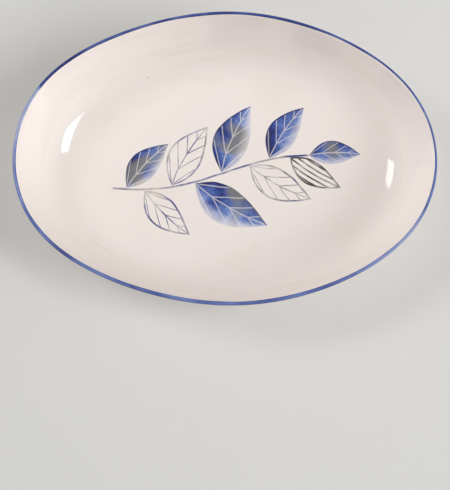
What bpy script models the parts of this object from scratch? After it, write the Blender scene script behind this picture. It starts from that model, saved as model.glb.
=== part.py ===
"""An oval serving bowl of glazed earthenware, for Blender 4.5.

Metres, +Z up. The origin is on the table under the middle of the bowl, and X runs along its length.
Every piece is lofted from one wall section, drawn as inset from the rim against height over the table.
"""

import math

import bmesh
import bpy
from mathutils import Vector

# The finished bowl, outside
RIM_LENGTH = 0.360
RIM_WIDTH = 0.255
RIM_HEIGHT = 0.066

# The wall's curve, one Bezier span from the lip to the foot
WALL_LEAN = math.radians(16.3)
LIP_PULL = 0.052
HEEL_PULL = 0.033

# The clay, thinnest at the lip
CLAY_LIP = 0.0020
CLAY_WALL = 0.0038
CLAY_FLOOR = 0.0046

# The fired coats: glaze inside, outside and under the base, and the blue band over the lip
GLAZE_THICKNESS = 0.0005
BOND_GAP = 0.0003
BAND_DROP_OUTSIDE = 0.0008
BAND_DROP_INSIDE = 0.0004

# The bare foot ring that the bowl stands on
FOOT_INSET = 0.062
FOOT_RING_WIDTH = 0.006
FOOT_HEIGHT = 0.003
FOOT_EDGE = 0.0008

# The hand-formed rim: long sides rise and ends dip, the -X end tips up, and the lip ripples a little
SADDLE_RISE = 0.0036
END_TIP = 0.00165
RIPPLE = 0.00045

# The hand-formed oval: full shoulders near the ends, fuller towards +X
SHOULDER_SPREAD = 0.0013
FULLER_END = 0.00075

# Steps round the oval, down the wall and over the lip
SEGMENTS = 72
WALL_STEPS = 8
LIP_STEPS = 6

# Worked out from the sizes above
COAT = GLAZE_THICKNESS + BOND_GAP
LIP_THICKNESS = CLAY_LIP + 2 * COAT
WALL_THICKNESS = CLAY_WALL + 2 * COAT
FLOOR_THICKNESS = CLAY_FLOOR + 2 * COAT
LIP_RADIUS = LIP_THICKNESS / 2
LIP_CENTRE = Vector((LIP_RADIUS, RIM_HEIGHT - LIP_RADIUS))
LEAN_INWARD = Vector((math.cos(WALL_LEAN), math.sin(WALL_LEAN)))
LEAN_DOWN = Vector((math.sin(WALL_LEAN), -math.cos(WALL_LEAN)))

# The wall curve's knots and handles, as (inset, height) on the finished outside
WALL_TOP = LIP_CENTRE - LEAN_INWARD * LIP_RADIUS
WALL_FOOT = Vector((FOOT_INSET - BOND_GAP, FOOT_HEIGHT))
LIP_HANDLE = WALL_TOP + LEAN_DOWN * LIP_PULL
HEEL_HANDLE = WALL_FOOT - Vector((HEEL_PULL, 0))


def wall_curve(t):
    """The finished outside at t, from 0 at the lip to 1 at the foot."""
    s = 1 - t
    ends = WALL_TOP * s**3 + WALL_FOOT * t**3
    return ends + LIP_HANDLE * (3 * s * s * t) + HEEL_HANDLE * (3 * s * t * t)


def wall_inward(t):
    """The direction square to the wall, into the bowl."""
    s = 1 - t
    along = (LIP_HANDLE - WALL_TOP) * s * s
    along += (HEEL_HANDLE - LIP_HANDLE) * (2 * s * t)
    along += (WALL_FOOT - HEEL_HANDLE) * t * t
    return Vector((-along.y, along.x)).normalized()


def wall_thickness(t):
    """It fills out soon below the lip, then grows slowly to the floor."""
    near_lip = (WALL_THICKNESS - LIP_THICKNESS) * (1 - (1 - t) ** 4)
    near_floor = (FLOOR_THICKNESS - WALL_THICKNESS) * t * t
    return LIP_THICKNESS + near_lip + near_floor


def rim_share(t):
    """How much of the rim's unevenness reaches this far down: all at the lip, none at the foot."""
    return (wall_curve(t).y - WALL_FOOT.y) / (WALL_TOP.y - WALL_FOOT.y)


def from_outside(t, depth):
    """A section point that lies this deep under the finished outside."""
    point = wall_curve(t) + wall_inward(t) * depth
    return point.x, point.y, rim_share(t)


def from_inside(t, depth):
    """A section point that lies this deep under the finished inside."""
    return from_outside(t, wall_thickness(t) - depth)


def over_lip(radius):
    """Section points over the round lip, from its outside to its inside."""
    points = []
    for step in range(LIP_STEPS + 1):
        turn = math.pi * step / LIP_STEPS
        point = LIP_CENTRE - LEAN_INWARD * radius * math.cos(turn) - LEAN_DOWN * radius * math.sin(turn)
        points.append((point.x, point.y, 1.0))
    return points


def drop_to_t(drop):
    """The wall position this far below the lip's middle, measured along the wall."""
    return drop / (3 * LIP_PULL)


def wall_steps(top):
    """Even positions down the wall from top to the foot."""
    return [top + (1 - top) * step / WALL_STEPS for step in range(WALL_STEPS + 1)]


def level(inset, height):
    """A section point of a flat, even ring near the base."""
    return inset, height, 0.0


def on_oval(angle, section_point):
    """The place of a section point at this angle round the oval."""
    inset, height, share = section_point
    spread = SHOULDER_SPREAD * math.sin(2 * angle) - FULLER_END * math.sin(angle)
    reach = spread * math.sin(4 * angle) * share - inset
    wave = SADDLE_RISE * math.cos(2 * angle) + END_TIP * math.cos(angle) + RIPPLE * math.cos(6 * angle)
    x = (RIM_LENGTH / 2 + reach) * math.cos(angle)
    y = (RIM_WIDTH / 2 + reach) * math.sin(angle)
    return Vector((x, y, height - wave * share))


def loft(name, section, material, is_ring):
    """A piece lofted round the oval: a closed ring, or a dish whose two end loops are filled."""
    bm = bmesh.new()
    bmesh.ops.create_circle(bm, segments=SEGMENTS, radius=1.0)
    loop = bm.edges[:]
    loops = [loop]
    for _ in section[1:]:
        made = bmesh.ops.extrude_edge_only(bm, edges=loop)["geom"]
        bmesh.ops.translate(bm, verts=[g for g in made if isinstance(g, bmesh.types.BMVert)], vec=(0, 0, 1))
        loop = [g for g in made if isinstance(g, bmesh.types.BMEdge) and g.is_boundary]
        loops.append(loop)
    if is_ring:
        bmesh.ops.bridge_loops(bm, edges=loops[0] + loops[-1])
    else:
        for end in (loops[0], loops[-1]):
            filled = bmesh.ops.edgeloop_fill(bm, edges=end)["faces"]
            bmesh.ops.poke(bm, faces=filled)
    for vert in bm.verts:
        ring = section[round(vert.co.z)]
        if vert.co.xy.length < 0.5:
            vert.co = (0, 0, ring[1])
        else:
            vert.co = on_oval(math.atan2(vert.co.y, vert.co.x), ring)
    bm.normal_update()
    bmesh.ops.recalc_face_normals(bm, faces=bm.faces[:])
    mesh = bpy.data.meshes.new(name)
    bm.to_mesh(mesh)
    bm.free()
    mesh.shade_smooth()
    mesh.set_sharp_from_angle(angle=math.radians(50))
    mesh.materials.append(material)
    piece = bpy.data.objects.new(name, mesh)
    bpy.context.collection.objects.link(piece)
    return piece


def finish(name, colour, roughness):
    """A Principled BSDF of one colour, given as linear RGB."""
    material = bpy.data.materials.new(name)
    material.use_nodes = True
    shader = material.node_tree.nodes["Principled BSDF"]
    shader.inputs["Base Color"].default_value = (*colour, 1)
    shader.inputs["Roughness"].default_value = roughness
    shader.inputs["Metallic"].default_value = 0.0
    return material


def clay_body(material):
    """The fired clay: floor, wall and lip in one."""
    outside = [from_outside(t, COAT) for t in reversed(wall_steps(0))]
    inside = [from_inside(t, COAT) for t in wall_steps(0)]
    lip = over_lip(CLAY_LIP / 2)[1:-1]
    return loft("clay_body", outside + lip + inside, material, is_ring=False)


def inner_glaze(material):
    """The clear white coat over the floor and the inside of the wall."""
    steps = wall_steps(drop_to_t(BAND_DROP_INSIDE + BOND_GAP))
    back = [from_inside(t, GLAZE_THICKNESS) for t in reversed(steps)]
    face = [from_inside(t, 0) for t in steps]
    return loft("inner_glaze", back + face, material, is_ring=False)


def outer_glaze(material):
    """The same coat over the outside of the wall, down to the foot ring."""
    steps = wall_steps(drop_to_t(BAND_DROP_OUTSIDE + BOND_GAP))
    face = [from_outside(t, 0) for t in reversed(steps)]
    back = [from_outside(t, GLAZE_THICKNESS) for t in steps]
    return loft("outer_glaze", face + back, material, is_ring=True)


def base_glaze(material):
    """The coat under the base, inside the foot ring."""
    edge = FOOT_INSET + FOOT_RING_WIDTH + BOND_GAP
    section = [level(edge, FOOT_HEIGHT), level(edge, FOOT_HEIGHT + GLAZE_THICKNESS)]
    return loft("base_glaze", section, material, is_ring=False)


def rim_band(material):
    """The painted blue band, a thin channel over the lip."""
    outside = drop_to_t(BAND_DROP_OUTSIDE)
    inside = drop_to_t(BAND_DROP_INSIDE)
    face = [from_outside(outside, 0), *over_lip(LIP_RADIUS), from_inside(inside, 0)]
    back = [from_inside(inside, GLAZE_THICKNESS), *reversed(over_lip(LIP_RADIUS - GLAZE_THICKNESS))]
    back.append(from_outside(outside, GLAZE_THICKNESS))
    return loft("rim_band", face + back, material, is_ring=True)


def foot_ring(material):
    """The bare ring under the base, with its standing edges eased."""
    outer = FOOT_INSET
    inner = FOOT_INSET + FOOT_RING_WIDTH
    top = FOOT_HEIGHT + GLAZE_THICKNESS
    section = [level(outer, top), level(outer, FOOT_EDGE), level(outer + FOOT_EDGE, 0)]
    section += [level(inner - FOOT_EDGE, 0), level(inner, FOOT_EDGE), level(inner, top)]
    return loft("foot_ring", section, material, is_ring=True)


def main():
    for old in list(bpy.data.objects):
        bpy.data.objects.remove(old)
    bare_clay = finish("bare_clay", (0.62, 0.50, 0.38), 0.85)
    white_glaze = finish("white_glaze", (0.83, 0.76, 0.71), 0.12)
    blue_glaze = finish("blue_glaze", (0.033, 0.07, 0.30), 0.15)
    bowl = bpy.data.objects.new("serving_bowl", None)
    bpy.context.collection.objects.link(bowl)
    pieces = [
        clay_body(bare_clay),
        foot_ring(finish("foot_clay", (0.66, 0.55, 0.43), 0.9)),
        inner_glaze(white_glaze),
        outer_glaze(finish("outside_glaze", (0.82, 0.75, 0.70), 0.14)),
        base_glaze(finish("under_glaze", (0.80, 0.73, 0.68), 0.2)),
        rim_band(blue_glaze),
    ]
    for piece in pieces:
        piece.parent = bowl


main()
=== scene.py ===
# %% [markdown]
# # An oval serving bowl of glazed earthenware
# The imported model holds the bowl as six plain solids: the clay, its foot ring, three coats of glaze and the
# blue band on the rim. This lesson loads them as a fixed frame and dresses them. Everything is in metres,
# in the solids' own frame, so a new piece goes where its solid is and needs no fitting.

import math

import bmesh
import bpy
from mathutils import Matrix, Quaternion, Vector, noise


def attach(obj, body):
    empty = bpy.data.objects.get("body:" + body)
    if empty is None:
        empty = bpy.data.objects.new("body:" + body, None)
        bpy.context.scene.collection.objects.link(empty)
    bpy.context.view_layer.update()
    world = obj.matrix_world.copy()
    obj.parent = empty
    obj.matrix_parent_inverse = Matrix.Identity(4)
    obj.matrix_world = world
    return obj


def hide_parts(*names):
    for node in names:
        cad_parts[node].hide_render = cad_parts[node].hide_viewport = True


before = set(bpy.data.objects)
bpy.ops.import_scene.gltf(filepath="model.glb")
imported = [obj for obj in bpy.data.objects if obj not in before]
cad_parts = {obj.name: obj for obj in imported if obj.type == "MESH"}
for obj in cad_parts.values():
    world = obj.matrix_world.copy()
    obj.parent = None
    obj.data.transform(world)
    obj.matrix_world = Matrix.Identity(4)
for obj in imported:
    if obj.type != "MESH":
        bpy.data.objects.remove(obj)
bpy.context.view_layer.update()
print("solids:", sorted(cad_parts))

# %% [markdown]
# ## The camera
# The photograph looks steeply down into the bowl with a long lens, from a bit over a metre away. A camera
# can be placed by eye, or worked out from a few points of the rim. Here it was worked out: the eye's
# distance and angles, the slightly steeper way the lens points, and its focal length in pixels of the 450 x
# 490 image. The sensor's size counts along the longer side of the image, which is its height.

# %% Camera
IMAGE_HEIGHT = 490
FOCAL_PIXELS = 1363.6
EYE_DISTANCE = 1.1518
EYE_AZIMUTH, EYE_ELEVATION = 0.38, 75.42
LENS_AZIMUTH, LENS_ELEVATION = 0.40, 79.15
RIM_HEIGHT = 0.066


def towards(azimuth, elevation):
    """A direction from the bowl, in degrees: azimuth 0 is the front, 90 the right end."""
    turn, lift = math.radians(azimuth), math.radians(elevation)
    return Vector((math.sin(turn) * math.cos(lift), -math.cos(turn) * math.cos(lift), math.sin(lift)))


camera = bpy.data.objects.new("camera", bpy.data.cameras.new("camera"))
camera.data.lens = camera.data.sensor_width * FOCAL_PIXELS / IMAGE_HEIGHT
camera.location = towards(EYE_AZIMUTH, EYE_ELEVATION) * EYE_DISTANCE + Vector((0, 0, RIM_HEIGHT))
camera.rotation_euler = towards(LENS_AZIMUTH, LENS_ELEVATION).to_track_quat("Z", "Y").to_euler()
bpy.context.collection.objects.link(camera)
bpy.context.scene.camera = camera
bpy.context.scene.view_settings.view_transform = "Standard"
print("camera at", tuple(round(value, 3) for value in camera.location))
print("lens:", round(camera.data.lens, 1), "mm")

# %% [markdown]
# ## Colours and nodes
# Every colour in this lesson is written as an sRGB hex value, as a colour picker shows it, and one function
# turns it into the linear numbers that shaders work in. One more function adds a node: its settings, and
# each input as a value or as a link. Some nodes repeat the names of their inputs, so those go by number. In
# Map Range, 0 is the value, 1 and 2 are the range it has, and 3 and 4 the range it gets, which is 0 to 1
# where nothing is given. In Mix, 0 is the factor, 6 and 7 are the two colours, and output 2 is the mixed
# colour.

# %% Two small helpers
MM = 0.001


def linear(hex_colour):
    """An sRGB hex colour as linear RGBA."""
    parts = [int(hex_colour[i:i + 2], 16) / 255 for i in (1, 3, 5)]
    return (*(p / 12.92 if p <= 0.04045 else ((p + 0.055) / 1.055) ** 2.4 for p in parts), 1.0)


def add(tree, kind, inputs, **settings):
    """Adds a node. An input is a value, or a link from a socket or from a node's first output."""
    made = tree.nodes.new("ShaderNode" + kind)
    for name, value in settings.items():
        setattr(made, name, value)
    for key, value in inputs.items():
        if isinstance(value, bpy.types.Node):
            value = value.outputs[0]
        if isinstance(value, bpy.types.NodeSocket):
            tree.links.new(value, made.inputs[key])
        else:
            made.inputs[key].default_value = value
    return made


print("middle grey in linear light:", [round(value, 3) for value in linear("#808080")])

# %% [markdown]
# ## The table
# The bowl stands on a plain pale table top. A square plane would do, but its corners could show in a view
# from the side. A wide disc ends in the same plain ground all round.

# %% Table
TABLE_COLOUR = "#DEDDDB"
TABLE_RADIUS, TABLE_SIDES = 9.0, 96
BOARD_ROUGHNESS, BOARD_SPECULAR = 0.8, 0.2

bm = bmesh.new()
bmesh.ops.create_circle(bm, cap_ends=True, segments=TABLE_SIDES, radius=TABLE_RADIUS)
table_mesh = bpy.data.meshes.new("table_top")
bm.to_mesh(table_mesh)
bm.free()
table = bpy.data.objects.new("table_top", table_mesh)
bpy.context.collection.objects.link(table)

# Matt painted board: one even pale grey, with no gloss to speak of.
board = bpy.data.materials.new("matt_painted_board")
board.use_nodes = True
board_shader = board.node_tree.nodes["Principled BSDF"]
board_shader.inputs["Base Color"].default_value = linear(TABLE_COLOUR)
board_shader.inputs["Roughness"].default_value = BOARD_ROUGHNESS
board_shader.inputs["Specular IOR Level"].default_value = BOARD_SPECULAR
table_mesh.materials.append(board)
print("table top:", round(2 * TABLE_RADIUS, 1), "m across")

# %% [markdown]
# ## Light from all round
# The pale room sends some soft light from everywhere. A ring of lamps could do that, but the world does it
# with one colour and a low strength. What the camera and the gloss see of the room is a plain pale grey
# instead, so the Light Path node swaps the soft light for a backdrop where a ray comes from the camera, a
# gloss or a glass.

# %% World
AMBIENT_COLOUR, AMBIENT = "#FFFFFF", 0.315
BACKDROP_COLOUR, BACKDROP = "#DAD9D7", 1.0

world = bpy.data.worlds.new("studio")
world.use_nodes = True
bpy.context.scene.world = world
sky = world.node_tree
sky.nodes.clear()
rays = add(sky, "LightPath", {}).outputs
seen = add(sky, "Math", {0: rays["Is Camera Ray"], 1: rays["Is Glossy Ray"]}, operation="MAXIMUM")
seen = add(sky, "Math", {0: seen, 1: rays["Is Transmission Ray"]}, operation="MAXIMUM")
soft_light = add(sky, "Background", {"Color": linear(AMBIENT_COLOUR), "Strength": AMBIENT})
backdrop = add(sky, "Background", {"Color": linear(BACKDROP_COLOUR), "Strength": BACKDROP})
room = add(sky, "MixShader", {0: seen, 1: soft_light, 2: backdrop})
add(sky, "OutputWorld", {"Surface": room})
print("world: soft light of", AMBIENT, "and a backdrop of", BACKDROP_COLOUR)

# %% [markdown]
# ## Softboxes
# A large softbox stands on the right, tilted on its stand, and a smaller one upright on the left. The gloss
# shows each as a white, leaning window on the wall across from it. A lamp could be pushed about until its
# window is in place. Here the work goes backwards: from the spot on the wall where the window is, in the
# direction that the gloss sends the camera's view, out to the lamp.

# %% Softboxes
SOFTBOX_DISTANCE = 5.4


def softbox(name, seen_at, azimuth, elevation, size, back, roll, power):
    """A studio lamp, out from the spot where the gloss shows it, with its back turned a given way."""
    lamp = bpy.data.objects.new(name, bpy.data.lights.new(name, "AREA"))
    lamp.data.shape = "RECTANGLE"
    lamp.data.size, lamp.data.size_y = size
    lamp.data.energy = power
    lamp.location = Vector(seen_at) + towards(azimuth, elevation) * SOFTBOX_DISTANCE
    turned = towards(*back).to_track_quat("Z", "Y") @ Quaternion((0, 0, 1), math.radians(roll))
    lamp.rotation_euler = turned.to_euler()
    lamp.visible_camera = False
    bpy.context.collection.objects.link(lamp)
    print(name, "at", tuple(round(value, 2) for value in lamp.location), power, "W")


softbox("key_softbox", seen_at=(-0.125, 0.045, 0.035), azimuth=76.7, elevation=40.4,
        size=(2.84, 3.27), back=(-18, 47), roll=109, power=199.0)
softbox("fill_softbox", seen_at=(0.140, 0.000, 0.035), azimuth=251.1, elevation=46.3,
        size=(1.89, 2.36), back=(227.6, 0), roll=0, power=91.0)

# %% [markdown]
# ## Wide soft light
# Pale walls send light back from the right and the left, and a little from the front. A sun lamp with a
# wide angle does that for the whole table, with no place of its own. The gloss doesn't show it, since an
# even wall has nothing to show. The one on the left casts no shadow, so that the table stays light beside
# the bowl.

# %% Glows
def glow(name, azimuth, elevation, width, strength, shadow=True):
    """Soft light from a wide, far part of the room, which the gloss doesn't show."""
    lamp = bpy.data.objects.new(name, bpy.data.lights.new(name, "SUN"))
    lamp.data.angle = math.radians(width)
    lamp.data.energy = strength
    lamp.data.use_shadow = shadow
    lamp.rotation_euler = towards(azimuth, elevation).to_track_quat("Z", "Y").to_euler()
    lamp.visible_glossy = False
    bpy.context.collection.objects.link(lamp)
    print(name, "is", width, "degrees wide,", strength, "W/m2")


glow("right_glow", azimuth=80, elevation=18, width=50, strength=1.06)
glow("left_glow", azimuth=252, elevation=12, width=30, strength=1.03, shadow=False)
glow("front_glow", azimuth=10, elevation=30, width=40, strength=0.25)

# %% [markdown]
# ## The bowl's section
# A potter sees a bowl as a section that goes round. The wall is one Bezier span on the finished outside,
# from the round lip to the foot, and the inside follows it at the wall's thickness. Points are kept as
# inset from the rim against height. Any Bezier tool would give the same curve, but as a short function it
# can be asked for a point at any place down the wall, which the band's edges need.

# %% Sizes of the section
RIM_LENGTH, RIM_WIDTH = 0.360, 0.255
WALL_LEAN = math.radians(16.3)
LIP_PULL, HEEL_PULL = 0.052, 0.033
LIP_THICKNESS, WALL_THICKNESS, FLOOR_THICKNESS = 3.6 * MM, 5.4 * MM, 6.2 * MM
FOOT_INSET, FOOT_WIDTH, FOOT_HEIGHT = 62 * MM, 6 * MM, 3 * MM
# the gap that the solids keep at the foot
SEAT = 0.3 * MM

LIP_RADIUS = LIP_THICKNESS / 2
LIP_CENTRE = Vector((LIP_RADIUS, RIM_HEIGHT - LIP_RADIUS))
LEAN_INWARD = Vector((math.cos(WALL_LEAN), math.sin(WALL_LEAN)))
LEAN_DOWN = Vector((math.sin(WALL_LEAN), -math.cos(WALL_LEAN)))
WALL_TOP = LIP_CENTRE - LEAN_INWARD * LIP_RADIUS
WALL_FOOT = Vector((FOOT_INSET - SEAT, FOOT_HEIGHT))
LIP_HANDLE = WALL_TOP + LEAN_DOWN * LIP_PULL
HEEL_HANDLE = WALL_FOOT - Vector((HEEL_PULL, 0))


def wall(t, depth, from_inside=False):
    """The wall's point at t, 0 at the lip to 1 at the foot, this deep under its outside or inside,
    with the share of the rim's waves that reaches it."""
    s = 1 - t
    place = WALL_TOP * s**3 + LIP_HANDLE * (3 * s * s * t)
    place += HEEL_HANDLE * (3 * s * t * t)
    place += WALL_FOOT * t**3
    along = (LIP_HANDLE - WALL_TOP) * (s * s) + (HEEL_HANDLE - LIP_HANDLE) * (2 * s * t)
    along += (WALL_FOOT - HEEL_HANDLE) * (t * t)
    inward = Vector((-along.y, along.x)).normalized()
    share = (place.y - WALL_FOOT.y) / (WALL_TOP.y - WALL_FOOT.y)
    if from_inside:
        thickness = LIP_THICKNESS + (WALL_THICKNESS - LIP_THICKNESS) * (1 - s**4)
        depth = thickness + (FLOOR_THICKNESS - WALL_THICKNESS) * t * t - depth
    return (*(place + inward * depth), share)


print("inside at half wall:", [round(value / MM, 1) for value in wall(0.5, 0, True)[:2]], "mm in and up")

# %% [markdown]
# ## From a round bowl to an oval one
# Spin turns a section into a round bowl. This bowl is oval and formed by hand: its long sides rise, its
# ends dip, its shoulders are full and nothing is quite even. A round bowl could be scaled, but that would
# thicken the wall at the ends. So every ring is lengthened by the same amount along X instead, which keeps
# the wall even, and the waves of the rim, faint throwing rings and the hand's unevenness are added at the
# same time.

# %% Hand-forming
SADDLE_RISE, END_TIP, RIPPLE = 3.6 * MM, 1.65 * MM, 0.45 * MM
SHOULDER_SPREAD, SHOULDER_SKEW = 1.3 * MM, 0.75 * MM
UNEVEN, UNEVEN_WIDTH = 0.18 * MM, 60 * MM
RING_HEIGHT, RING_PITCH = 0.010 * MM, 8 * MM
# inside this radius, just within the foot, a ring is lengthened less and less down to the middle
FLOOR_MARGIN = 1 * MM
FLOOR_RADIUS = RIM_WIDTH / 2 - FOOT_INSET - FOOT_WIDTH - FLOOR_MARGIN


def hand_formed(place, share):
    """Where a point of the even, round bowl lies on the hand-formed oval, with its share of the waves."""
    angle = math.atan2(place.y, place.x)
    stretch = (RIM_LENGTH - RIM_WIDTH) / 2 * min(1, place.xy.length / FLOOR_RADIUS)
    spread = SHOULDER_SPREAD * math.sin(2 * angle) - SHOULDER_SKEW * math.sin(angle)
    wave = SADDLE_RISE * math.cos(2 * angle) + END_TIP * math.cos(angle) + RIPPLE * math.cos(6 * angle)
    rings = math.sin(2 * math.pi * (place.z + place.xy.length) / RING_PITCH)
    swell = (UNEVEN * noise.noise(place / UNEVEN_WIDTH) + RING_HEIGHT * rings) * 4 * share * (1 - share)
    reach = spread * math.sin(4 * angle) * share + swell
    x = place.x + (stretch + reach) * math.cos(angle)
    y = place.y + reach * math.sin(angle)
    return Vector((x, y, place.z - wave * share))


for side, spot in (("right end", (1, 0)), ("back", (0, 1)), ("left end", (-1, 0)), ("front", (0, -1))):
    rim_spot = hand_formed(Vector((*spot, 0)) * (RIM_WIDTH / 2) + Vector((0, 0, RIM_HEIGHT)), 1.0)
    print("rim at the", side, "is", round(rim_spot.z / MM, 1), "mm high")

# %% [markdown]
# ## Spinning a piece
# A Screw modifier could turn the section round too, but the spin operator works on the bmesh itself, so the
# points can be moved straight after it. A float layer on the vertices rides along and says how much of the
# waves each point takes. A full spin joins its last ring to its first, and points on the axis are merged.
# Then the shape is hand-formed and its normals are turned outwards, because spin can leave them inside out.
# Smooth shading hides the facets, but real corners stay sharp.

# %% Spinning
SPIN_STEPS = 240
MERGE_DISTANCE = 0.001 * MM
SHARP_ANGLE = 50


def spin_section(section, closed, **layers):
    """A round shape, spun from a chain of (inset, height, share) points, with float layers of its own."""
    bm = bmesh.new()
    layers["share"] = [share for _, _, share in section]
    for name in layers:
        bm.verts.layers.float.new(name)
    chain = [bm.verts.new((RIM_WIDTH / 2 - inset, 0, height)) for inset, height, _ in section]
    for name, values in layers.items():
        for vert, value in zip(chain, values):
            vert[bm.verts.layers.float[name]] = value
    ends = chain[1:] + chain[:1] if closed else chain[1:]
    edges = [bm.edges.new(pair) for pair in zip(chain, ends)]
    bmesh.ops.spin(bm, geom=chain + edges, axis=(0, 0, 1), cent=(0, 0, 0),
                   angle=2 * math.pi, steps=SPIN_STEPS, use_merge=True)
    bmesh.ops.remove_doubles(bm, verts=bm.verts[:], dist=MERGE_DISTANCE)
    return bm


def to_piece(bm, name):
    """Hand-forms the spun shape and makes it an object."""
    layer = bm.verts.layers.float["share"]
    for vert in bm.verts:
        vert.co = hand_formed(vert.co, vert[layer])
    bm.normal_update()
    bmesh.ops.recalc_face_normals(bm, faces=bm.faces[:])
    mesh = bpy.data.meshes.new(name)
    bm.to_mesh(mesh)
    bm.free()
    mesh.shade_smooth()
    mesh.set_sharp_from_angle(angle=math.radians(SHARP_ANGLE))
    piece = bpy.data.objects.new(name, mesh)
    bpy.context.collection.objects.link(piece)
    print(name, "has", sum(len(face.vertices) - 2 for face in mesh.polygons), "triangles")
    return piece


print("each piece has", SPIN_STEPS, "steps round")

# %% [markdown]
# ## Over the lip
# The coats of glaze end under the band, and the band lies over the round lip, so their edges are easiest to
# give as a way along the section: up the outside, over the lip and down the inside. The round part is a
# half circle, and near the lip the wall's Bezier runs at three times the pull of its handle, which turns a
# way into its t.

# %% The way over the lip
LIP_ARC = math.pi * LIP_RADIUS
WALL_SPEED = 3 * LIP_PULL


def over_edge(way, depth):
    """The section point this way along the edge: 0 where the outside meets the round lip, LIP_ARC where the
    lip meets the inside, and down the walls before and after."""
    if way < 0:
        return wall(-way / WALL_SPEED, depth)
    if way > LIP_ARC:
        return wall((way - LIP_ARC) / WALL_SPEED, depth, True)
    out = LEAN_INWARD * math.cos(way / LIP_RADIUS) + LEAN_DOWN * math.sin(way / LIP_RADIUS)
    return (*(LIP_CENTRE - out * (LIP_RADIUS - depth)), 1.0)


print("over the lip:", round(LIP_ARC / MM, 2), "mm")

# %% [markdown]
# ## The glaze inside and outside
# The white coat is thin: it covers the inside from the band down over the floor, and the outside from the
# band down to the foot. A Solidify modifier could thicken one surface, but here both faces of the coat come
# from the same wall function, so the section is drawn once as a chain that goes down one face and back up
# the other. The top edge of each coat runs on under the band, so that no gap shows between white and blue.

# %% Inner and outer glaze
# how deep the two faces of a coat lie under the finished surface
FACE_DEPTH, COAT = 0.13 * MM, 0.5 * MM
LIP_RINGS, WALL_RINGS, FLOOR_RINGS = 4, 60, 14
OUTER_TOP, INNER_TOP = 0.35 * LIP_ARC, 0.45 * LIP_ARC
# how far a coat runs in over the foot ring
FOOT_LAP = 0.6 * MM


def coat(depth, from_inside):
    """One face of a coat, from under the band down to the foot."""
    top, start = (INNER_TOP, LIP_ARC) if from_inside else (OUTER_TOP, 0)
    lip = [over_edge(top + (start - top) * step / LIP_RINGS, depth) for step in range(LIP_RINGS)]
    return lip + [wall(step / WALL_RINGS, depth, from_inside) for step in range(WALL_RINGS + 1)]


def across_floor(height):
    """Rings of the flat floor, from the wall's foot in to the middle."""
    start = WALL_FOOT.x
    middle = RIM_WIDTH / 2
    insets = [start + (middle - start) * step / FLOOR_RINGS for step in range(1, FLOOR_RINGS + 1)]
    return [(inset, height, 0.0) for inset in insets]


floor_height = wall(1, 0, True)[1]
inner_face = coat(FACE_DEPTH, True) + across_floor(floor_height - FACE_DEPTH)
inner_back = coat(COAT, True) + across_floor(floor_height - COAT)
inner_glaze = to_piece(spin_section(inner_back[::-1] + inner_face, closed=False), "inner_glaze_coat")

foot_seat = (FOOT_INSET + FOOT_LAP, FOOT_HEIGHT + FACE_DEPTH, 0.0)
outer_face = coat(FACE_DEPTH, False) + [foot_seat]
outer_back = [(foot_seat[0], FOOT_HEIGHT + COAT, 0.0)] + coat(COAT, False)[::-1]
outer_glaze = to_piece(spin_section(outer_face + outer_back, closed=True), "outer_glaze_coat")

# %% [markdown]
# ## The band on the lip
# A brush loaded with blue runs once round the lip. The band is a channel over the round edge, a hair proud
# of the white coats. It is spun like the rest, but the painter's hand isn't steady: inside, the band is
# wider at the left and in front and narrower at the ends, and both edges wander. So each vertex keeps its
# share of the way across the band in a float layer, and is then slid along the edge to where the wandering
# band has that share. One more layer says how far round from the join the brush has come, which the finish
# uses later.

# %% Rim band
BAND_DEPTH = 0.09 * MM
BAND_STEPS = 16
BAND_START, BAND_END = 0.1 * MM, 4.7 * MM
WIDER_IN_FRONT, WIDER_AT_LEFT, NARROWER_AT_ENDS = 0.15 * MM, 0.5 * MM, 0.3 * MM
WANDER, WANDER_LENGTH = 0.5 * MM, 26 * MM
# moves the inside edge's wander to another part of the noise
OTHER_WANDER = Vector((0, 0, 9))
BRUSH_JOIN = math.radians(152)

steps = [step / BAND_STEPS for step in range(BAND_STEPS + 1)]
shares = steps + steps[::-1]
depths = [BAND_DEPTH] * len(steps) + [COAT] * len(steps)
even_band = [over_edge(BAND_START + (BAND_END - BAND_START) * share, depth)
             for share, depth in zip(shares, depths)]
bm = spin_section(even_band, closed=True, across=shares, depth=depths, stroke=[0.0] * len(shares))
layer_names = ("across", "depth", "stroke")
across_layer, depth_layer, stroke_layer = (bm.verts.layers.float[name] for name in layer_names)
for vert in bm.verts:
    angle = math.atan2(vert.co.y, vert.co.x)
    around = Vector((math.cos(angle), math.sin(angle), 0))
    spot = around * (RIM_WIDTH / 2 / WANDER_LENGTH)
    start = BAND_START + WANDER * noise.noise(spot)
    end = BAND_END + WANDER * noise.noise(spot + OTHER_WANDER)
    end -= WIDER_IN_FRONT * around.y + WIDER_AT_LEFT * around.x + NARROWER_AT_ENDS * math.cos(2 * angle)
    inset, height, _ = over_edge(start + (end - start) * vert[across_layer], vert[depth_layer])
    vert.co = around * (RIM_WIDTH / 2 - inset) + Vector((0, 0, height))
    vert[stroke_layer] = (angle - BRUSH_JOIN) / (2 * math.pi) % 1
rim_band = to_piece(bm, "rim_band_blue")

# %% [markdown]
# ## The foot and the base
# The bowl stands on a low ring that stays bare, because glaze would stick to the kiln shelf. The ring
# starts as a plain four-cornered section, spun like the rest, and the bevel operator eases its two standing
# edges as a wet sponge does. The base inside the ring has a thin coat of its own, one flat spun disc that
# runs into the ring.

# %% Foot ring and base glaze
FOOT_EDGE, FOOT_EDGE_SEGMENTS = 0.8 * MM, 4
# an edge stands on the table, and goes round rather than across, to within this
NEARLY = 0.1 * MM

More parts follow.
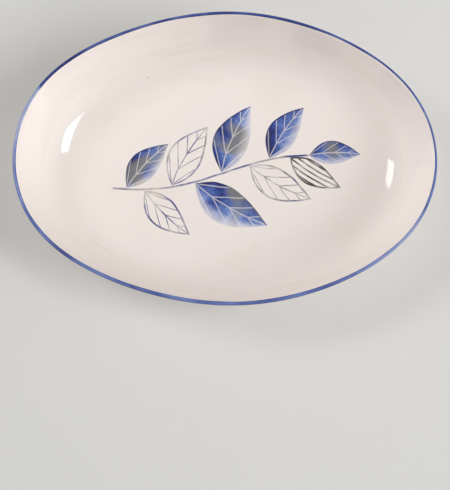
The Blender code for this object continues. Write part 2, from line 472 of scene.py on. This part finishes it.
foot_top = FOOT_HEIGHT + COAT
foot_section = [(FOOT_INSET, foot_top, 0.0), (FOOT_INSET, 0.0, 0.0)]
foot_section += [(FOOT_INSET + FOOT_WIDTH, 0.0, 0.0), (FOOT_INSET + FOOT_WIDTH, foot_top, 0.0)]
bm = spin_section(foot_section, closed=True)
standing = []
for edge in bm.edges:
    first, second = (vert.co for vert in edge.verts)
    if max(first.z, second.z) < NEARLY and abs(first.xy.length - second.xy.length) < NEARLY:
        standing.append(edge)
bmesh.ops.bevel(bm, geom=standing, offset=FOOT_EDGE, segments=FOOT_EDGE_SEGMENTS, profile=0.5,
                affect="EDGES", material=-1)
foot_ring = to_piece(bm, "foot_ring_bare")

base_edge = FOOT_INSET + FOOT_WIDTH - FOOT_LAP
base_reach = RIM_WIDTH / 2 - base_edge
base_rings = [base_edge + base_reach * step / FLOOR_RINGS for step in range(FLOOR_RINGS + 1)]
base_back = [(inset, foot_top, 0.0) for inset in base_rings]
base_face = [(inset, FOOT_HEIGHT + FACE_DEPTH, 0.0) for inset in base_rings]
base_glaze = to_piece(spin_section(base_back[::-1] + base_face, closed=False), "base_glaze_coat")

# %% [markdown]
# ## White glaze
# Tin-white glaze on earthenware is a glassy coat, fired until it flows level: warm white and glossy, with
# faint streaks round the wall where it ran over the potter's rings, a pale speck here and there where iron
# in the clay came through, and a shallow ripple like orange peel that makes reflections waver. A noise that
# is squeezed in height gives the streaks: on the wall it changes quickly going down and slowly going round,
# and the level floor stays even. Cells with a small dark middle give the specks. The three coats share one
# recipe.

# %% White glaze material
GLAZE_COLOUR, GLAZE_STREAK = "#F3EAE5", "#EFE5DF"
STREAK_LENGTH, STREAK_HEIGHT = 60 * MM, 7 * MM
STREAK_FROM, STREAK_FULL = 0.52, 0.74
SPECK_COLOUR, SPECK_SPACING, SPECK_RADIUS = "#CDC1B7", 30 * MM, 1.3 * MM
LEVEL_ROUGHNESS, STREAKED_ROUGHNESS = 0.04, 0.08
ROUGHER_FROM, ROUGHER_FULL = 0.3, 0.7
PEEL_SIZE, PEEL_HEIGHT = 4.5 * MM, 0.005 * MM
GLASS_IOR = 1.56


def white_glaze(name):
    """Glossy fired glaze: faint streaks of tone round the wall, pale specks and a shallow peel."""
    material = bpy.data.materials.new(name)
    material.use_nodes = True
    tree = material.node_tree
    shader = tree.nodes["Principled BSDF"]
    shader.inputs["IOR"].default_value = GLASS_IOR
    where = add(tree, "TexCoord", {}).outputs["Object"]
    squeeze = (1 / STREAK_LENGTH, 1 / STREAK_LENGTH, 1 / STREAK_HEIGHT)
    squeezed = add(tree, "Mapping", {"Vector": where, "Scale": squeeze})
    streaks = add(tree, "TexNoise", {"Vector": squeezed, "Scale": 1.0, "Detail": 2.0})
    tone = add(tree, "MapRange", {0: streaks, 1: STREAK_FROM, 2: STREAK_FULL})
    colour = add(tree, "Mix", {0: tone, 6: linear(GLAZE_COLOUR), 7: linear(GLAZE_STREAK)}, data_type="RGBA")
    specks = add(tree, "TexVoronoi", {"Vector": where, "Scale": 1 / SPECK_SPACING})
    specks = add(tree, "MapRange", {0: specks, 1: 0.0, 2: SPECK_RADIUS / SPECK_SPACING, 3: 1.0, 4: 0.0})
    colour = add(tree, "Mix", {0: specks, 6: colour.outputs[2], 7: linear(SPECK_COLOUR)}, data_type="RGBA")
    tree.links.new(colour.outputs[2], shader.inputs["Base Color"])
    roughness = add(tree, "MapRange", {0: streaks, 1: ROUGHER_FROM, 2: ROUGHER_FULL,
                                       3: LEVEL_ROUGHNESS, 4: STREAKED_ROUGHNESS})
    tree.links.new(roughness.outputs[0], shader.inputs["Roughness"])
    peel = add(tree, "TexNoise", {"Vector": where, "Scale": 1 / PEEL_SIZE, "Detail": 1.0})
    bump = add(tree, "Bump", {"Height": peel, "Distance": PEEL_HEIGHT, "Strength": 1.0})
    tree.links.new(bump.outputs[0], shader.inputs["Normal"])
    return material, where, colour.outputs[2]


outer_white, _, _ = white_glaze("tin_white_glaze_outside")
base_white, _, _ = white_glaze("tin_white_glaze_base")
outer_glaze.data.materials.append(outer_white)
base_glaze.data.materials.append(base_white)
print("white glaze: streaks of", STREAK_HEIGHT / MM, "mm, peel of", PEEL_SIZE / MM, "mm")

# %% [markdown]
# ## The painted leaf
# The floor carries a brush-painted design under the gloss: a leafy branch in blue, grey and black. It could
# be a picture, but drawn in nodes it stays sharp at any distance. One leaf is drawn once, as a node group,
# and each leaf of the branch is then one group node with its own place, turn and size. The outline is two
# arcs, one each side of a bent midrib: u runs along the leaf from -1 to 1, and v across it. Depth is how
# far a point lies inside the edge, in millimetres, and the brushed outline follows it.

# %% The leaf group and its outline
# a leaf is wider towards its stalk; far outside it, the taper stops growing
LEAF_TAPER, TAPER_LIMIT = -0.3, 1.5
LINE_INSET, LINE_HALF_WIDTH, LINE_SOFT = 0.6, 0.6, 0.4
LEAF_INPUTS = {"Point": "Vector", "Place": "Vector", "Turn": "Vector", "Size": "Vector",
               "Half Width": "Float", "Bend": "Float"}

leaf = bpy.data.node_groups.new("brushed_leaf", "ShaderNodeTree")
for socket_name, kind in LEAF_INPUTS.items():
    leaf.interface.new_socket(socket_name, in_out="INPUT", socket_type="NodeSocket" + kind)
given = leaf.nodes.new("NodeGroupInput").outputs
local = add(leaf, "Mapping", {"Vector": given["Point"], "Location": given["Place"],
                              "Rotation": given["Turn"], "Scale": given["Size"]}, vector_type="TEXTURE")
axes = add(leaf, "SeparateXYZ", {0: local})
u, v = axes.outputs[0], axes.outputs[1]
u_squared = add(leaf, "Math", {0: u, 1: u}, operation="MULTIPLY")
swelling = add(leaf, "Math", {0: 1.0, 1: u_squared}, operation="SUBTRACT")
near = add(leaf, "Clamp", {0: u, 1: -TAPER_LIMIT, 2: TAPER_LIMIT})
taper = add(leaf, "Math", {0: near, 1: LEAF_TAPER, 2: 1.0}, operation="MULTIPLY_ADD")
half = add(leaf, "Math", {0: swelling, 1: taper}, operation="MULTIPLY")
bent = add(leaf, "Math", {0: swelling, 1: given["Bend"]}, operation="MULTIPLY")
across = add(leaf, "Math", {0: v, 1: bent}, operation="SUBTRACT")
away = add(leaf, "Math", {0: across}, operation="ABSOLUTE")
depth = add(leaf, "Math", {0: half, 1: away}, operation="SUBTRACT")
depth_mm = add(leaf, "Math", {0: depth, 1: given["Half Width"]}, operation="MULTIPLY")
from_line = add(leaf, "Math", {0: depth_mm, 1: LINE_INSET}, operation="SUBTRACT")
from_line = add(leaf, "Math", {0: from_line}, operation="ABSOLUTE")
line_fall = {1: LINE_HALF_WIDTH, 2: LINE_HALF_WIDTH + LINE_SOFT, 3: 1.0, 4: 0.0}
outline = add(leaf, "MapRange", {0: from_line, **line_fall}, interpolation_type="SMOOTHSTEP")
print("leaf outline:", 2 * LINE_HALF_WIDTH, "mm wide")

# %% [markdown]
# ## A wash in the leaf
# A wash is laid from the upper edge of a leaf: the pigment gathers in a dark line there, thins towards the
# tip and fades out below. A painted gradient could follow the leaf's length, but it would miss the dark
# upper edge, so the group measures where a point lies from the lower edge to the upper. It gives how well a
# point is filled and how thin the wash is there.

# %% Wash
EDGE_OUT, EDGE_IN = -0.15, 0.45
FADED_BELOW, FADE_END = 0.35, 0.3
THINNER_AT_TIP, THINNER_BELOW, DEEPER_EDGE = 0.45, 0.6, -0.5

inside = add(leaf, "MapRange", {0: depth_mm, 1: EDGE_OUT, 2: EDGE_IN}, interpolation_type="SMOOTHSTEP")
upward = add(leaf, "Math", {0: across, 1: half}, operation="DIVIDE")
upper = add(leaf, "MapRange", {0: upward, 1: -1.0, 2: 1.0})
lower = add(leaf, "MapRange", {0: upward, 1: -1.0, 2: 1.0, 3: 1.0, 4: 0.0})
faded = add(leaf, "MapRange", {0: upper, 1: 0.0, 2: FADE_END, 3: FADED_BELOW, 4: 1.0})
fill = add(leaf, "Math", {0: inside, 1: faded}, operation="MULTIPLY")
along = add(leaf, "MapRange", {0: u, 1: -1.0, 2: 1.0, 4: THINNER_AT_TIP})
thin = add(leaf, "Math", {0: lower, 1: THINNER_BELOW, 2: along}, operation="MULTIPLY_ADD")
gathered = add(leaf, "Math", {0: outline, 1: upper}, operation="MULTIPLY")
thin = add(leaf, "Math", {0: gathered, 1: DEEPER_EDGE, 2: thin}, operation="MULTIPLY_ADD")
thin = add(leaf, "Math", {0: thin, 1: inside}, operation="MULTIPLY")
print("wash: fills a leaf over", round(EDGE_IN - EDGE_OUT, 2), "mm at its edge")

# %% [markdown]
# ## Veins and hatching
# Veins leave the midrib at a rake, and hatching runs along the leaf. Each stroke could be a line of its
# own, but all of them are one ping-pong wave, which rises and falls in straight lines, cut off low down so
# that only thin strokes stay. They keep clear of the outline. Then the group hands out its five masks.

# %% Veins, hatching and outputs
RIB_HALF_WIDTH, RIB_SOFT = 0.3, 0.4
VEIN_COUNT, VEIN_RAKE = 4.0, 0.8
HATCH_COUNT = 5.0
# where the strokes end in the wave, which goes from 0 to 0.5 and back
HALF_WAVE = 0.5
VEIN_CORE, VEIN_EDGE = 0.03, 0.075
HATCH_CORE, HATCH_EDGE = 0.10, 0.22
CLEAR_FROM, CLEAR_TO = 0.8, 1.5

away_mm = add(leaf, "Math", {0: away, 1: given["Half Width"]}, operation="MULTIPLY")
rib_fall = {1: RIB_HALF_WIDTH, 2: RIB_HALF_WIDTH + RIB_SOFT, 3: 1.0, 4: 0.0}
midrib = add(leaf, "MapRange", {0: away_mm, **rib_fall})
raked = add(leaf, "Math", {0: away, 1: -VEIN_RAKE, 2: u}, operation="MULTIPLY_ADD")
beat = add(leaf, "Math", {0: raked, 1: VEIN_COUNT / 2}, operation="MULTIPLY")
beat = add(leaf, "Math", {0: beat, 1: HALF_WAVE}, operation="PINGPONG")
side_veins = add(leaf, "MapRange", {0: beat, 1: VEIN_CORE, 2: VEIN_EDGE, 3: 1.0, 4: 0.0})
veins = add(leaf, "Math", {0: midrib, 1: side_veins}, operation="MAXIMUM")
within = add(leaf, "MapRange", {0: depth_mm, 1: CLEAR_FROM, 2: CLEAR_TO})
veins = add(leaf, "Math", {0: veins, 1: within}, operation="MULTIPLY")
rows = add(leaf, "Math", {0: across, 1: HATCH_COUNT / 2}, operation="MULTIPLY")
rows = add(leaf, "Math", {0: rows, 1: HALF_WAVE}, operation="PINGPONG")
hatch = add(leaf, "MapRange", {0: rows, 1: HATCH_CORE, 2: HATCH_EDGE, 3: 1.0, 4: 0.0})
hatch = add(leaf, "Math", {0: hatch, 1: within}, operation="MULTIPLY")

leaf_parts = {"Fill": fill, "Thin": thin, "Outline": outline, "Veins": veins, "Hatch": hatch}
for socket_name in leaf_parts:
    leaf.interface.new_socket(socket_name, in_out="OUTPUT", socket_type="NodeSocketFloat")
taken = leaf.nodes.new("NodeGroupOutput").inputs
for socket_name, node in leaf_parts.items():
    leaf.links.new(node.outputs[0], taken[socket_name])
print("leaf group:", len(leaf.nodes), "nodes")

# %% [markdown]
# ## The branch
# One stem sways along the floor, and leaves leave it by turns to either side: some filled with a wash of
# blue, some only drawn, one hatched. They could be placed by eye, but the stem is a sine curve on a slope,
# so the leaves' places and turns are worked out from the same formula that draws it. Lengths here are in
# millimetres.

# %% The stem's course and the leaves on it
STEM_RISE, STEM_SWAY, STEM_WAVE = 0.14, 7.0, 210.0
STEM_ENDS = (-100.0, 74.0)
# each leaf: station along the stem, side, lean from the stem in degrees, length, half width, painted how
LEAVES = (
    (-88, 1, 50, 54, 12.5, "wash"),
    (-72, -1, 46, 56, 12.5, "line"),
    (-48, 1, 50, 62, 14.5, "line"),
    (-28, -1, 46, 74, 16.5, "wash"),
    (-4, 1, 48, 66, 15.5, "wash"),
    (20, -1, 46, 62, 13.5, "line"),
    (38, 1, 44, 56, 13.0, "wash"),
    (56, -1, 38, 52, 10.5, "hatch"),
    (72, 0, 0, 46, 10.5, "wash"),
)


def stem_height(x):
    """How far back on the floor the stem lies at x."""
    return STEM_RISE * x + STEM_SWAY * math.sin(2 * math.pi * x / STEM_WAVE)


def stem_angle(x):
    """The way the stem runs at x."""
    slope = STEM_SWAY * 2 * math.pi / STEM_WAVE * math.cos(2 * math.pi * x / STEM_WAVE)
    return math.atan(STEM_RISE + slope)


print("branch:", len(LEAVES), "leaves on a stem of", STEM_ENDS[1] - STEM_ENDS[0], "mm")

# %% [markdown]
# ## Brushing the leaves
# The painted coat starts as the same white glaze. A slow noise pushes every point about by half a
# millimetre first, so that no line is ruler-straight. Then each leaf is a group node, and its masks join
# those of the other leaves that are painted the same way. Each leaf could be coloured by itself, but joined
# masks need the paint only once. A washed leaf has its veins left half bare, as a brush leaves them.

# %% Leaves along the stem
LEAF_STALK, LEAF_BEND, BARE_VEINS = 2.0, 0.22, 0.55
HAND_SHAKE, SHAKE_LENGTH = 1.3 * MM, 16 * MM
NOISE_MIDDLE = 0.5

inner_white, where, glaze_colour = white_glaze("tin_white_glaze_painted")
tree = inner_white.node_tree
shake = add(tree, "TexNoise", {"Vector": where, "Scale": 1 / SHAKE_LENGTH, "Detail": 1.0})
shake = add(tree, "VectorMath", {0: shake.outputs["Color"], 1: (NOISE_MIDDLE,) * 3}, operation="SUBTRACT")
point = add(tree, "VectorMath", {0: shake, 1: (HAND_SHAKE,) * 3, 2: where}, operation="MULTIPLY_ADD")

brushed = {"wash": 0.0, "thin": 0.0, "line": 0.0, "hatch": 0.0}
for station, side, lean, length, half_width, manner in LEAVES:
    turn = stem_angle(station) + side * math.radians(lean)
    reach = LEAF_STALK + length / 2
    place = (station + reach * math.cos(turn), stem_height(station) + reach * math.sin(turn))
    drawn = add(tree, "Group", {
        "Point": point,
        "Place": (place[0] * MM, place[1] * MM, 0),
        "Turn": (0, 0, turn),
        "Size": (length / 2 * MM, half_width * MM, 1),
        "Half Width": half_width,
        "Bend": LEAF_BEND * (side or 1),
    }, node_tree=leaf).outputs
    if manner == "wash":
        bare = add(tree, "Math", {0: drawn["Veins"], 1: -BARE_VEINS, 2: 1.0}, operation="MULTIPLY_ADD")
        filled = add(tree, "Math", {0: drawn["Fill"], 1: bare}, operation="MULTIPLY")
        strokes = {"wash": filled, "thin": drawn["Thin"]}
    else:
        drawn_in = drawn["Veins" if manner == "line" else "Hatch"]
        strokes = {manner: add(tree, "Math", {0: drawn["Outline"], 1: drawn_in}, operation="MAXIMUM")}
    for layer_name, mask in strokes.items():
        brushed[layer_name] = add(tree, "Math", {0: brushed[layer_name], 1: mask}, operation="MAXIMUM")
print("painted so far:", len(tree.nodes), "nodes")

# %% [markdown]
# ## The stem
# The stem is one brush line. A curve object could be laid on the floor, but paint has no thickness, so the
# line is a mask too: a point belongs to it where it lies close to the sine curve. At both ends the line
# fades out over two millimetres, as a lifted brush leaves it. It takes the same ink as the drawn leaves.

# %% The stem
STEM_HALF_WIDTH, STEM_SOFT = 0.6 * MM, 0.5 * MM
STEM_FADE = 2.0

axes = add(tree, "SeparateXYZ", {0: point})
phase = add(tree, "Math", {0: axes.outputs[0], 1: 2 * math.pi / (STEM_WAVE * MM)}, operation="MULTIPLY")
sway = add(tree, "Math", {0: phase}, operation="SINE")
height = add(tree, "Math", {0: axes.outputs[0], 1: STEM_RISE}, operation="MULTIPLY")
height = add(tree, "Math", {0: sway, 1: STEM_SWAY * MM, 2: height}, operation="MULTIPLY_ADD")
off_stem = add(tree, "Math", {0: axes.outputs[1], 1: height}, operation="SUBTRACT")
off_stem = add(tree, "Math", {0: off_stem}, operation="ABSOLUTE")
stem_fall = {1: STEM_HALF_WIDTH, 2: STEM_HALF_WIDTH + STEM_SOFT, 3: 1.0, 4: 0.0}
stem = add(tree, "MapRange", {0: off_stem, **stem_fall})
for start, end in (STEM_ENDS, STEM_ENDS[::-1]):
    inward = math.copysign(STEM_FADE, end - start)
    tip = add(tree, "MapRange", {0: axes.outputs[0], 1: start * MM, 2: (start + inward) * MM})
    stem = add(tree, "Math", {0: stem, 1: tip}, operation="MULTIPLY")
brushed["line"] = add(tree, "Math", {0: brushed["line"], 1: stem}, operation="MAXIMUM")
print("stem:", round(2 * STEM_HALF_WIDTH / MM, 1), "mm wide")

# %% [markdown]
# ## Washes
# Cobalt brushed on the raw glaze behaves like watercolour. It is nearly black-blue where it gathers and
# watery where it runs out, it blooms in patches, its grains settle unevenly, and a greyer pigment mingles
# with it here and there. Two colours could be mixed, but a colour ramp from deep to watery, read by how
# thin the wash is, has room for all the blues between. Noises of a few sizes move it.

# %% Washes
WASH_TINTS = ((0.0, "#0B1A5E"), (0.2, "#1A378C"), (0.42, "#4660A6"), (0.68, "#7088C4"), (1.0, "#A9B6DC"))
GREY_WASH, GREY_FROM, GREY_FULL, GREY_SHARE = "#7B7974", 0.57, 0.67, 0.85
BLOOM_SIZE, PATCH_SIZE, GRAIN_SIZE = 14 * MM, 30 * MM, 2.2 * MM
BLOOM, GRAIN, WASH_BIAS = 1.5, 0.5, -1.05

bloom = add(tree, "TexNoise", {"Vector": where, "Scale": 1 / BLOOM_SIZE, "Detail": 3.0})
patches = add(tree, "TexNoise", {"Vector": where, "Scale": 1 / PATCH_SIZE, "Detail": 1.0})
grain = add(tree, "TexNoise", {"Vector": where, "Scale": 1 / GRAIN_SIZE, "Detail": 2.0})
thin = add(tree, "Math", {0: bloom, 1: BLOOM, 2: brushed["thin"]}, operation="MULTIPLY_ADD")
thin = add(tree, "Math", {0: grain, 1: GRAIN, 2: thin}, operation="MULTIPLY_ADD")
thin = add(tree, "Math", {0: thin, 1: WASH_BIAS}, operation="ADD", use_clamp=True)
blue = add(tree, "ValToRGB", {0: thin})
while len(blue.color_ramp.elements) < len(WASH_TINTS):
    blue.color_ramp.elements.new(1.0)
for element, (position, tint) in zip(blue.color_ramp.elements, WASH_TINTS):
    element.position = position
    element.color = linear(tint)
greyed = add(tree, "MapRange", {0: patches, 1: GREY_FROM, 2: GREY_FULL, 4: GREY_SHARE})
wash = add(tree, "Mix", {0: greyed, 6: blue, 7: linear(GREY_WASH)}, data_type="RGBA")
painted = add(tree, "Mix", {0: brushed["wash"], 6: glaze_colour, 7: wash.outputs[2]}, data_type="RGBA")
print("wash:", len(WASH_TINTS), "blues from deep to watery, and a grey")

# %% [markdown]
# ## Ink lines
# Drawn lines change with how hard the brush was pressed, so the blooms thin them too. The plain lines go
# from blue to grey in patches, and the hatching from black to blue. One flat ink would look printed.

# %% Ink lines
LINE_BLUE, LINE_GREY, LINE_BLACK = "#182A7E", "#62605F", "#1C1A19"
PRESS_FROM, PRESS_TO, LIGHTLY_PRESSED = 0.35, 0.65, 0.35
LINE_GREY_FROM, LINE_GREY_FULL = 0.48, 0.6
HATCH_BLUE_FROM, HATCH_BLUE_FULL = 0.5, 0.6

pressed = add(tree, "MapRange", {0: bloom, 1: PRESS_FROM, 2: PRESS_TO, 3: 1.0, 4: LIGHTLY_PRESSED})
to_grey = add(tree, "MapRange", {0: patches, 1: LINE_GREY_FROM, 2: LINE_GREY_FULL})
line_ink = add(tree, "Mix", {0: to_grey, 6: linear(LINE_BLUE), 7: linear(LINE_GREY)}, data_type="RGBA")
to_blue = add(tree, "MapRange", {0: bloom, 1: HATCH_BLUE_FROM, 2: HATCH_BLUE_FULL})
hatch_ink = add(tree, "Mix", {0: to_blue, 6: linear(LINE_BLACK), 7: linear(LINE_BLUE)}, data_type="RGBA")
for mask, ink in ((brushed["line"], line_ink), (brushed["hatch"], hatch_ink)):
    mask = add(tree, "Math", {0: mask, 1: pressed}, operation="MULTIPLY")
    painted = add(tree, "Mix", {0: mask, 6: painted.outputs[2], 7: ink.outputs[2]}, data_type="RGBA")
tree.links.new(painted.outputs[2], tree.nodes["Principled BSDF"].inputs["Base Color"])
inner_glaze.data.materials.append(inner_white)
print("painted glaze:", len(tree.nodes), "nodes")

# %% [markdown]
# ## Blue on the rim
# The band is cobalt, brushed on and sunk into the glaze in the firing, so it is nearly as glossy as the
# white. Where the brush was wet it is deep, and where it ran dry it is watery. Along the crown of the lip it
# is paler, partly where the paint is thin and partly as a painted highlight, and it gathers deeper at both
# edges. A noise alone would put the wet and dry parts anywhere, so the layers that the band was spun with are
# read back as attributes: how far round the stroke a point is, and how far across.

# %% Cobalt band
BAND_TINTS = ((0.0, "#1C2763"), (0.25, "#33458F"), (0.6, "#667BB6"), (1.0, "#9AA3C6"))
# how thin the paint is along the stroke: a dry start, a steady run, a thin stretch, then a fresh brushful
STROKE_LOAD = (
    (0.0, 0.95), (0.05, 0.88), (0.08, 0.55), (0.2, 0.35), (0.42, 0.4),
    (0.48, 0.75), (0.53, 0.5), (0.58, 0.38), (0.70, 0.28), (0.76, 0.12),
    (0.87, 0.15), (0.91, 0.3), (0.95, 0.12), (0.98, 0.12), (0.99, 0.0),
)
BRUSH_STREAK, BRUSH_STREAK_SHARE = 24 * MM, 0.2
BRUSH_STREAK_FROM, BRUSH_STREAK_TO = 0.3, 0.7
# where across the band the paint is thinnest and a painted highlight lightens it, 0 being its outside edge
# and 1 its inside edge, how far to either side that goes, and where the deeper edges start
BAND_CROWN, CROWN_HALF, EDGE_HALF = 0.58, 0.22, 0.40
PALER_CROWN_THIN_AND_HIGHLIGHT, DEEPER_EDGES = 0.12, -0.35
BAND_IOR, BAND_ROUGHNESS = 1.5, 0.12

# Cobalt sunk into glaze: the eye sees a clear deep blue that turns milky where the brush ran dry.
cobalt = bpy.data.materials.new("cobalt_under_glaze")
cobalt.use_nodes = True
tree = cobalt.node_tree
shader = tree.nodes["Principled BSDF"]
shader.inputs["IOR"].default_value = BAND_IOR
shader.inputs["Roughness"].default_value = BAND_ROUGHNESS
where = add(tree, "TexCoord", {}).outputs["Object"]
stroke = add(tree, "Attribute", {}, attribute_name="stroke")
load = add(tree, "ValToRGB", {0: stroke.outputs["Fac"]})
while len(load.color_ramp.elements) < len(STROKE_LOAD):
    load.color_ramp.elements.new(1.0)
for element, (position, thinness) in zip(load.color_ramp.elements, STROKE_LOAD):
    element.position = position
    element.color = (thinness, thinness, thinness, 1)
streaks = add(tree, "TexNoise", {"Vector": where, "Scale": 1 / BRUSH_STREAK, "Detail": 3.0})
streaks = add(tree, "MapRange", {0: streaks, 1: BRUSH_STREAK_FROM, 2: BRUSH_STREAK_TO,
                                 3: -BRUSH_STREAK_SHARE, 4: BRUSH_STREAK_SHARE})
edge = add(tree, "Attribute", {}, attribute_name="across")
# the crown is made paler, partly for thin paint and partly as a painted highlight; the edges go deeper
edge = add(tree, "Math", {0: edge.outputs["Fac"], 1: BAND_CROWN}, operation="SUBTRACT")
edge = add(tree, "Math", {0: edge}, operation="ABSOLUTE")
edge_fall = {1: CROWN_HALF, 2: EDGE_HALF, 3: PALER_CROWN_THIN_AND_HIGHLIGHT, 4: DEEPER_EDGES}
edge = add(tree, "MapRange", {0: edge, **edge_fall}, interpolation_type="SMOOTHSTEP")
thin = add(tree, "Math", {0: load, 1: streaks}, operation="ADD")
thin = add(tree, "Math", {0: thin, 1: edge}, operation="ADD", use_clamp=True)
blue = add(tree, "ValToRGB", {0: thin})
while len(blue.color_ramp.elements) < len(BAND_TINTS):
    blue.color_ramp.elements.new(1.0)
for element, (position, tint) in zip(blue.color_ramp.elements, BAND_TINTS):
    element.position = position
    element.color = linear(tint)
tree.links.new(blue.outputs[0], shader.inputs["Base Color"])
rim_band.data.materials.append(cobalt)
print("band:", len(STROKE_LOAD), "steps of load round the rim")

# %% [markdown]
# ## Bare clay
# The foot, and the body under the glaze, are plain fired earthenware. It is buff, matt and gritty, since
# nothing has melted over its grains. A flat colour would look like plastic, so one fine noise gives the
# grains both their tone and their height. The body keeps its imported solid, because the coats cover it all
# round.

# %% Bare earthenware
CLAY_BUFF, CLAY_DARK = "#CDBCA4", "#B7A182"
GRIT_SIZE, GRIT_HEIGHT = 0.9 * MM, 0.05 * MM
GRIT_FROM, GRIT_FULL = 0.4, 0.7
CLAY_ROUGHNESS = 0.9

# Bare buff earthenware: the eye sees a dry, sandy surface with no highlight.
clay = bpy.data.materials.new("bare_buff_earthenware")
clay.use_nodes = True
tree = clay.node_tree
shader = tree.nodes["Principled BSDF"]
shader.inputs["Roughness"].default_value = CLAY_ROUGHNESS
where = add(tree, "TexCoord", {}).outputs["Object"]
grit = add(tree, "TexNoise", {"Vector": where, "Scale": 1 / GRIT_SIZE, "Detail": 3.0})
grains = add(tree, "MapRange", {0: grit, 1: GRIT_FROM, 2: GRIT_FULL})
buff = add(tree, "Mix", {0: grains, 6: linear(CLAY_BUFF), 7: linear(CLAY_DARK)}, data_type="RGBA")
tree.links.new(buff.outputs[2], shader.inputs["Base Color"])
bump = add(tree, "Bump", {"Height": grit, "Distance": GRIT_HEIGHT})
tree.links.new(bump.outputs[0], shader.inputs["Normal"])
foot_ring.data.materials.append(clay)
clay_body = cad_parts["clay_body"]
clay_body.data.materials.clear()
clay_body.data.materials.append(clay)
print("bare clay: grit of", round(GRIT_SIZE / MM, 1), "mm")

# %% [markdown]
# ## Dressing the frame
# Each new piece rides on the bowl's one body and stands for its plain solid, which is hidden. Each row
# also gives the finish that it carries.

# %% Ride and replace
for piece, node, finish in (
    (inner_glaze, "inner_glaze", "white_glaze"),
    (outer_glaze, "outer_glaze", "white_glaze"),
    (base_glaze, "base_glaze", "white_glaze"),
    (rim_band, "rim_band", "blue_glaze"),
    (foot_ring, "foot_ring", "bare_clay"),
):
    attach(piece, "root")
    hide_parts(node)
